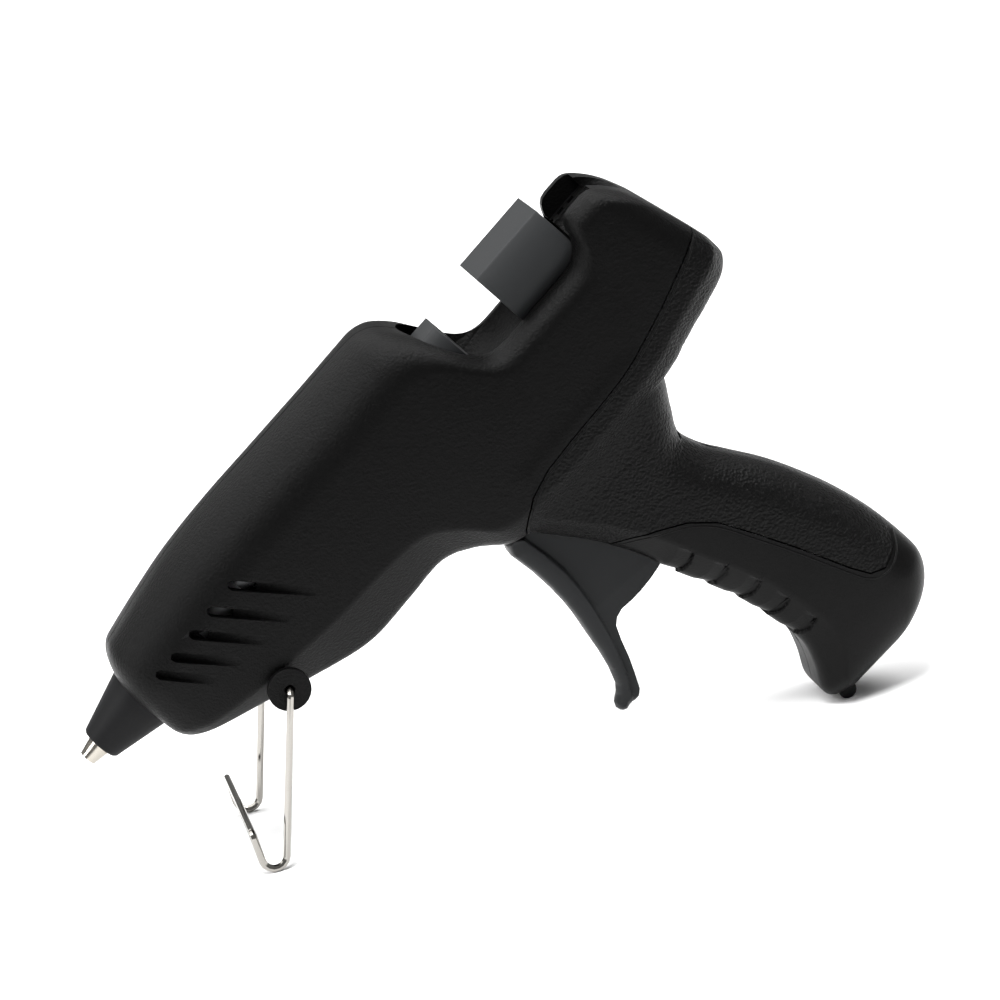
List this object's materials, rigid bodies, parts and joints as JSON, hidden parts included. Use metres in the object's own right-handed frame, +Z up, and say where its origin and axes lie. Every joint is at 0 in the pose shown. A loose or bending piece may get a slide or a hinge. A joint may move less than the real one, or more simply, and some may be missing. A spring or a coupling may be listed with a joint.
{
  "type": "hot glue gun",
  "caption": "Trigger-fed hot glue gun for thick sticks, with a cone nozzle, a sliding feed carriage, a curved grip and a folding wire stand.",
  "frame": {"origin": "middle of the object's box, on the surface that it stands on", "axes": "+X from the nozzle towards the grip, +Y to the gun's right, +Z up"},
  "size_m": [0.2096, 0.0422, 0.1404],
  "materials": {
    "black_abs": "fine-textured moulded black ABS",
    "grained_abs": "leather-grained moulded black ABS",
    "grip_abs": "smooth satin black ABS with stepped bands",
    "grey_nylon": "satin mid-grey nylon",
    "dark_grey_nylon": "satin dark grey nylon",
    "sleeve_nylon": "matte heat-resistant dark grey nylon",
    "nickel_plate": "bright nickel-plated brass",
    "polished_wire": "polished plated steel wire",
    "cast_aluminium": "as-cast aluminium",
    "heater_case": "ceramic heater in a thin aluminium case",
    "silicone": "moulded red silicone",
    "spring_steel": "zinc-plated steel"
  },
  "bodies": {
    "gun": {"body_left": "black_abs", "body_right": "black_abs", "feed_sleeve": "silicone", "finger_grip_left": "grip_abs", "finger_grip_right": "grip_abs", "front_collar": "grey_nylon", "handle_left": "grained_abs", "handle_right": "grained_abs", "heater_clip": "spring_steel", "heater_element": "heater_case", "heating_chamber": "cast_aluminium", "heel_screw": "spring_steel", "housing_screw_1": "spring_steel", "housing_screw_2": "spring_steel", "housing_screw_3": "spring_steel", "housing_screw_4": "spring_steel", "housing_screw_5": "spring_steel", "housing_screw_6": "spring_steel", "housing_screw_7": "spring_steel", "nozzle_sleeve": "sleeve_nylon", "nozzle_tip": "nickel_plate", "stand_button_left": "black_abs", "stand_button_right": "black_abs", "trigger_pivot_pin": "spring_steel", "trigger_spring": "spring_steel"},
    "trigger": {"trigger": "dark_grey_nylon", "arm_pin": "spring_steel"},
    "push_link": {"push_link": "spring_steel"},
    "feed_carriage": {"feed_carriage": "grey_nylon", "carriage_pin": "spring_steel"},
    "wire_stand": {"wire_stand": "polished_wire"}
  },
  "joints": [
    {"name": "trigger_pull", "type": "hinge", "parent": "gun", "child": "trigger", "pos_m": [0.01121, 0, 0.07056], "axis": [0, -1, 0], "range_deg": [0, 26], "stiffness_Nm_per_rad": 0.3, "springref_deg": -11.46},
    {"name": "link_swing", "type": "hinge", "parent": "trigger", "child": "push_link", "pos_m": [0.00311, 0, 0.08884], "axis": [0, -1, 0], "range_deg": [-26, 0]},
    {"name": "carriage_feed", "type": "slide", "parent": "gun", "child": "feed_carriage", "axis": [-0.7997, 0, -0.6004], "range_m": [0, 0.0091]},
    {"name": "stand_fold", "type": "hinge", "parent": "gun", "child": "wire_stand", "pos_m": [-0.05533, 0, 0.04271], "axis": [0, -1, 0], "range_deg": [0, 130]}
  ],
  "couplings": [
    {"joint": "link_swing", "follows": "trigger_pull", "ratio": -1},
    {"joint": "carriage_feed", "follows": "trigger_pull", "m_per_rad": 0.02}
  ]
}
